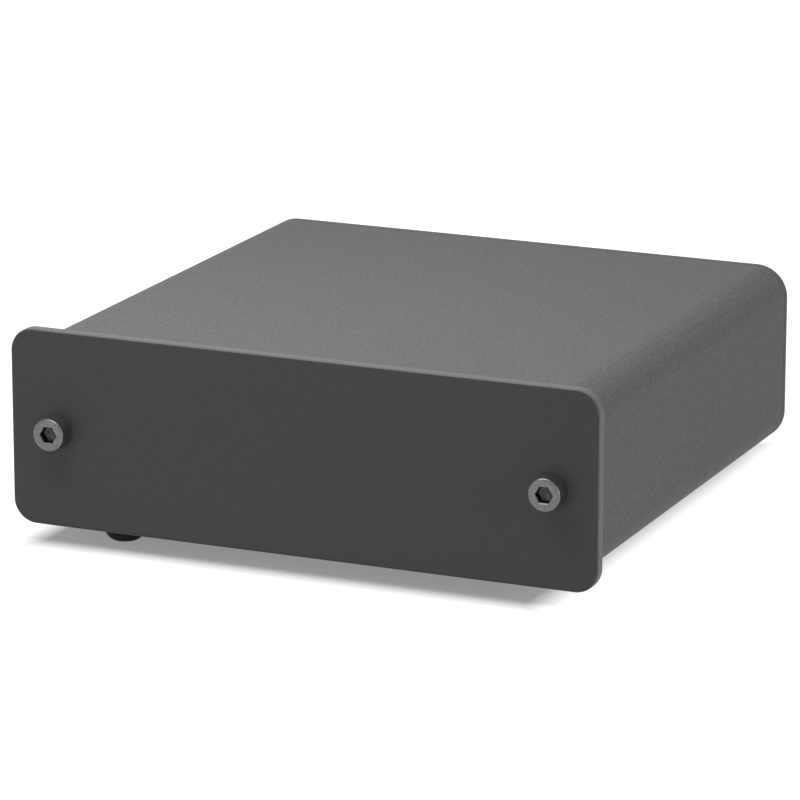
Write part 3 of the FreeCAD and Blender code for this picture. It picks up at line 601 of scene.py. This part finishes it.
PAN_RADIUS = 2.3
PAN_TALL = 1.5
TAPPING_RADIUS = 1.3
TAPPING_LONG = 8.0
POINT_RADIUS = 0.3
POINT_LONG = 2.0
PAN_ROUND = 0.7
CROSS_REACH = 1.3
CROSS_HALF = 0.33
CROSS_DEEP = 0.9
CROSS_STEPS = 96


def cross(reach, half, along, count=CROSS_STEPS):
    """A ring of points on a cross about Y, with its arms along X and Z."""
    ring = []
    for x, y, z in circle(1.0, along, count):
        turn = (math.degrees(math.atan2(z, x)) + 45) % 90 - 45
        across = abs(math.sin(math.radians(turn)))
        radius = min(reach / math.cos(math.radians(turn)), half / across if across else reach)
        ring.append((x * radius, y, z * radius))
    return ring


outline = [(POINT_RADIUS, -TAPPING_LONG), (TAPPING_RADIUS, POINT_LONG - TAPPING_LONG)]
outline += [(TAPPING_RADIUS, 0), (PAN_RADIUS, 0)]
outline += [(r, 2 * PAN_TALL + y) for r, y in rounding(PAN_RADIUS, PAN_ROUND, -PAN_TALL)]
pan = [circle(0, -TAPPING_LONG), *[circle(radius, y, CROSS_STEPS) for radius, y in outline]]
bottom = PAN_TALL - CROSS_DEEP
pan += [cross(CROSS_REACH, CROSS_HALF, PAN_TALL)]
pan += [cross(CROSS_REACH * 0.6, CROSS_HALF * 0.8, bottom), circle(0, bottom)]
pattern = lofted("pan_pattern", pan)
# The floor of the cross recess is marked for the darker colour, a painted shade
marked(pattern, "recess", lambda at: abs(at.y - bottom) < 0.1 and math.hypot(at.x, at.z) < CROSS_REACH)
spots = [(x, rear_high.y, jack_z + TAPPING_UP) for x in pair_spots]
pans = copies_at("pan_head_screws", pattern, oxide, spots)
fitted(pans, oxide, "black_steel", "jack_screws")

# Earth terminal: an M4 stud with a rolled thread, held by a nut and a solder tag inside, and a
# loose washer and a knurled thumb nut outside that clamp the turntable's earth lead. All are
# brass, nickel plated. The nut turns on the stud and takes the washer along.

THREAD_PITCH = 0.7
THREAD_DEEP = 0.35
THREAD_STEPS = 8
STUD_RADIUS = 1.98
STUD_IN = 6.0
STUD_OUT = 8.2
NUT_BORE = 2.06
NUT_RADIUS = 4.35
NUT_LONG = 4.4
NOSE_RADIUS = 3.3
NOSE_LONG = 1.1
RIDGES = 40
RIDGE_TALL = 0.34
RIDGE_ROOT = 0.1
RIDGE_START = 0.02
NUT_EDGE = 0.3
NOSE_EDGE = 0.25
BORE_EDGE = 0.4
WASHER_BURR = 0.1
WASHER_EDGE = 0.15
SEAT_GAP = 0.02


def thread_ring(along, start, end, count=32):
    """A ring of points of a right-hand thread, its crest worn away towards both ends."""
    worn = max(0.0, 1 - min(along - start, end - along) / THREAD_PITCH)
    ring = []
    for i in range(count):
        turn = 2 * math.pi * i / count
        phase = (along / THREAD_PITCH - turn / (2 * math.pi)) % 1
        radius = STUD_RADIUS - THREAD_DEEP * max(abs(2 * phase - 1), worn)
        ring.append((radius * math.cos(turn), along, radius * math.sin(turn)))
    return ring


start, end = rear_low.y - STUD_IN, rear_high.y + STUD_OUT
steps = round((end - start) / THREAD_PITCH * THREAD_STEPS)
helix = [thread_ring(start + (end - start) * i / steps, start, end) for i in range(steps + 1)]
helix = [circle(0, start), *helix, circle(0, end)]
stud = lofted("threaded_stud", helix, middle=(stud_x, 0, jack_z))
fitted(stud, nickel, "nickel", "ground_stud", sharp=50.0)

washer_low, washer_high = box_of("ground_washer")
outer = (washer_high.x - washer_low.x) / 2
profile = [(STUD_HOLE, washer_low.y), (outer - WASHER_BURR, washer_low.y)]
profile += [(outer, washer_low.y + WASHER_BURR), (outer, washer_high.y - WASHER_EDGE)]
profile += [(outer - WASHER_EDGE, washer_high.y), (STUD_HOLE, washer_high.y)]
washer = turned("flat_washer", profile, (stud_x, 0, jack_z))
fitted(washer, nickel, "nickel", "ground_washer", body="ground_washer")


def knurling_tree():
    """Geometry nodes that press straight ridges round a nut about Y."""
    tree = bpy.data.node_groups.new("Straight knurl", "GeometryNodeTree")
    tree.interface.new_socket("Geometry", in_out="OUTPUT", socket_type="NodeSocketGeometry")
    for name, kind in {
        "Middle": "Geometry",
        "Ridge": "Object",
        "Ridges": "Int",
        "Radius": "Float",
        "Finish": "Material",
    }.items():
        tree.interface.new_socket(name, in_out="INPUT", socket_type="NodeSocket" + kind)
    given = add(tree, "NodeGroupInput").outputs
    ring = {"Vertices": given["Ridges"], "Radius": given["Radius"]}
    ring = add(tree, "GeometryNodeMeshCircle", ring)
    away = add(tree, "GeometryNodeInputPosition")
    facing = add(
        tree,
        "FunctionNodeAlignRotationToVector",
        {"Vector": away.outputs[0]},
        axis="X",
        pivot_axis="Z",
    )
    ridge = add(tree, "GeometryNodeObjectInfo", {"Object": given["Ridge"]})
    ridges = add(
        tree,
        "GeometryNodeInstanceOnPoints",
        {
            "Points": ring.outputs["Mesh"],
            "Instance": ridge.outputs["Geometry"],
            "Rotation": facing.outputs["Rotation"],
        },
    )
    laid = {"Geometry": ridges.outputs["Instances"], "Rotation": (math.radians(-90), 0.0, 0.0)}
    laid = add(tree, "GeometryNodeTransform", laid)
    placed = add(
        tree,
        "GeometryNodeInstanceOnPoints",
        {"Points": given["Middle"], "Instance": laid.outputs["Geometry"]},
    )
    whole = add(tree, "GeometryNodeRealizeInstances", {"Geometry": placed.outputs["Instances"]})
    coated = {"Geometry": whole.outputs["Geometry"], "Material": given["Finish"]}
    coated = add(tree, "GeometryNodeSetMaterial", coated)
    add(tree, "NodeGroupOutput", {"Geometry": coated.outputs["Geometry"]})
    return tree


nut_y = box_of("ground_nut")[0].y
half = NUT_LONG / 2
width = math.pi * NUT_RADIUS / RIDGES
crest = [(-half, RIDGE_START), (RIDGE_TALL - half, RIDGE_TALL)]
crest += [(half - RIDGE_TALL, RIDGE_TALL), (half, RIDGE_START)]
ridge = [[(-RIDGE_ROOT, 0.0, -half)]]
for z, tall in crest:
    ridge.append([(-RIDGE_ROOT, -width, z), (-RIDGE_ROOT, width, z), (tall, 0.0, z)])
ridge.append([(-RIDGE_ROOT, 0.0, half)])
pattern = lofted("ridge_pattern", ridge)
middle = (stud_x, nut_y + half, jack_z)
knurl = from_nodes(
    "knurl",
    knurling_tree(),
    [middle],
    Ridge=pattern,
    Ridges=RIDGES,
    Radius=(NUT_RADIUS - RIDGE_START) * MM,
    Finish=nickel,
)
bpy.data.objects.remove(pattern)
seat = nut_y + SEAT_GAP
neck = nut_y + NUT_LONG
nose = neck + NOSE_LONG
profile = [(NUT_BORE + NUT_EDGE, seat), (NUT_RADIUS - NUT_EDGE, seat), (NUT_RADIUS, nut_y + NUT_EDGE)]
profile += [(NUT_RADIUS, neck - NUT_EDGE), (NUT_RADIUS - NUT_EDGE, neck)]
profile += [(NOSE_RADIUS, neck), (NOSE_RADIUS, nose - NOSE_EDGE)]
profile += [(NOSE_RADIUS - NOSE_EDGE, nose), (NUT_BORE + BORE_EDGE, nose)]
profile += [(NUT_BORE, nose - BORE_EDGE), (NUT_BORE, nut_y + NUT_EDGE)]
nut = turned("thumb_nut", profile, (stud_x, 0, jack_z))
fitted(nut, nickel, "nickel", "ground_nut", body="ground_nut")
fitted(knurl, nickel, "nickel", body="ground_nut", sharp=20.0)

# Inside and behind: what is left is the frame's own shape, in the finish that it really has. The
# inlet and switch show at the back; the circuit board and its parts are shut in the case.


def keep_shape(material, *nodes):
    """Give the frame's own nodes a finish."""
    for node in nodes:
        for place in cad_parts[node].material_slots:
            place.material = material


# Glass-filled nylon, moulded: black, with a slightly uneven satin skin
nylon = mottled("glass filled nylon", "#1b1b1c", "#272728", 0.5, 0.01, 0.05, Roughness=0.42)
keep_shape(nylon, "input_jack_block", "output_jack_block", "inlet_body", "switch_slider")
keep_shape(nickel, "ground_inner_nut", "inlet_pin_contact", "inlet_leaf")
keep_shape(nickel, *[name + "_contact" for name in JACKS])

# Tin plate on brass and steel: a duller grey metal than nickel, a little cloudy
tin = mottled("tin plate", "#a9aaa8", "#c4c5c3", 1.5, 0.002, 0.08, Metallic=1.0, Roughness=0.4)
keep_shape(tin, "ground_tag", "switch_case", "switch_terminals")

# Paper phenolic: brown pressed board with a faint fibrous cloud
phenolic = mottled("paper phenolic", "#6b4320", "#7f5329", 0.8, 0.004, Roughness=0.5)
keep_shape(phenolic, "switch_base_plate")

# Glass epoxy under green solder mask: a wet-looking green, faintly cloudy
laminate = mottled("green solder mask", "#0f4d25", "#17602f", 0.7, 0.01, 0.04, Roughness=0.3)
keep_shape(laminate, "circuit_board")

# Transfer moulded epoxy: dead matt black, as sandblasted
epoxy = mottled("moulded epoxy", "#1d1d1e", "#29292a", 0.15, 0.01, Roughness=0.6)
keep_shape(epoxy, "op_amps", "voltage_regulators", "rectifier_diodes")

# Shrunk vinyl sleeve on the capacitors' cans: dark blue and shiny, a little rippled
sleeving = mottled("shrunk vinyl sleeve", "#141a33", "#1b2342", 2.0, 0.02, 0.04, Roughness=0.28)
keep_shape(sleeving, "filter_capacitors", "coupling_capacitors")

# Dipped and moulded cases: red film capacitors and pale blue resistors, both lacquered
film = mottled("red capacitor case", "#8e1f17", "#a32a1f", 0.6, 0.005, Roughness=0.35)
keep_shape(film, "film_capacitors")
lacquer = mottled("blue resistor lacquer", "#6b9fb5", "#7fb0c4", 0.5, 0.01, Roughness=0.3)
keep_shape(lacquer, "resistors")

# Studio: white paper that runs on for metres, white all round, a softbox close over the case, one
# at its right and a dim one low in front. The paper's own glow is painted dim in a box under the
# case and full all round it, a painted shadow on top of the cast one, so that the shadow stays
# under the front plate.

PAPER_REACH = 3.0
# The box of painted shadow on the paper: its middle across, its width and depth, its soft edge and the
# dim glow inside it
SHADE_SPOT = -0.0035
SHADE_WIDE = 0.085
SHADE_DEEP = 0.1
SHADE_EDGE = 0.006
PAINTED_SHADOW_GLOW = 0.26
SKY_LEVEL = 0.3


def seen_directly(tree):
    """One for a ray that shows the studio to the eye or in a reflection, else nought."""
    path = add(tree, "ShaderNodeLightPath").outputs
    seen = path["Is Camera Ray"]
    for other in ("Is Glossy Ray", "Is Transmission Ray"):
        seen = add(tree, "ShaderNodeMath", {0: seen, 1: path[other]}, operation="MAXIMUM").outputs[0]
    return seen


paper, tree, shader, place = finish("white paper", Roughness=0.9, Specular_IOR_Level=0.0)
shader.inputs["Base Color"].default_value = linear("#b4b4b4")
# Painted shadow: the glow that the eye sees falls from full beyond the box to a dim level inside it
spot = {0: place, 1: (SHADE_SPOT, 0.0, 0.0)}
spot = add(tree, "ShaderNodeVectorMath", spot, operation="SUBTRACT")
spot = add(tree, "ShaderNodeVectorMath", {0: spot.outputs[0]}, operation="ABSOLUTE")
spot = add(tree, "ShaderNodeSeparateXYZ", {0: spot.outputs[0]}).outputs
beside = add(tree, "ShaderNodeMath", {0: spot["X"], 1: SHADE_WIDE / 2}, operation="SUBTRACT")
beyond = add(tree, "ShaderNodeMath", {0: spot["Y"], 1: SHADE_DEEP / 2}, operation="SUBTRACT")
clear = {0: beside.outputs[0], 1: beyond.outputs[0]}
clear = add(tree, "ShaderNodeMath", clear, operation="MAXIMUM")
shadow_glow = {0: clear.outputs[0], 1: 0.0, 2: SHADE_EDGE, 3: PAINTED_SHADOW_GLOW, 4: 1.0}
shadow_glow = add(tree, "ShaderNodeMapRange", shadow_glow)
lift = {0: seen_directly(tree), 1: shadow_glow.outputs[0]}
lift = add(tree, "ShaderNodeMath", lift, operation="MULTIPLY")
shader.inputs["Emission Color"].default_value = linear("#ffffff")
tree.links.new(lift.outputs[0], shader.inputs["Emission Strength"])
sheet = bmesh.new()
bmesh.ops.create_grid(sheet, x_segments=1, y_segments=1, size=PAPER_REACH)
floor = made("floor", sheet)
floor.data.materials.append(paper)

world = bpy.data.worlds.new("white studio")
bpy.context.scene.world = world
world.use_nodes = True
tree = world.node_tree
sky = tree.nodes["Background"]
level = {0: seen_directly(tree), 1: 0.0, 2: 1.0, 3: SKY_LEVEL, 4: 1.0}
level = add(tree, "ShaderNodeMapRange", level)
sky.inputs["Color"].default_value = linear("#ffffff")
tree.links.new(level.outputs[0], sky.inputs["Strength"])


def softbox(name, place, target, size, power):
    """A square lamp that faces a target; places are in metres."""
    lamp = bpy.data.lights.new(name, "AREA")
    lamp.shape = "SQUARE"
    lamp.size = size
    lamp.energy = power
    holder = bpy.data.objects.new(name, lamp)
    holder.location = place
    holder.rotation_euler = (Vector(target) - Vector(place)).to_track_quat("-Z", "Y").to_euler()
    bpy.context.scene.collection.objects.link(holder)


softbox("above", (-0.045, -0.08, 0.21), (-0.045, -0.07, 0.02), 0.16, 0.41)
softbox("right", (0.42, -0.07, 0.09), (0.0, 0.0, 0.02), 0.2, 0.53)
softbox("low left", (-0.35, -0.8, 0.05), (0.0, 0.0, 0.02), 0.2, 0.45)

# Camera: the photograph's, from the right of the front and a little above
LENS = 219.1
AZIMUTH = math.radians(23.64)
ELEVATION = math.radians(15.13)
DISTANCE = 0.7665
AIM_ACROSS = 17.77
AIM_UP = 31.09
target = Vector((AIM_ACROSS, plate_low.y, AIM_UP)) * MM
back = Vector((
    math.sin(AZIMUTH) * math.cos(ELEVATION),
    -math.cos(AZIMUTH) * math.cos(ELEVATION),
    math.sin(ELEVATION),
))
lens = bpy.data.cameras.new("camera")
lens.lens = LENS
lens.sensor_width = 36.0
lens.clip_start = 0.01
lens.clip_end = 20.0
camera = bpy.data.objects.new("camera", lens)
camera.location = target + back * DISTANCE
camera.rotation_mode = "QUATERNION"
camera.rotation_quaternion = (-back).to_track_quat("-Z", "Y")
bpy.context.scene.collection.objects.link(camera)
bpy.context.scene.camera = camera
bpy.context.scene.view_settings.view_transform = "Standard"
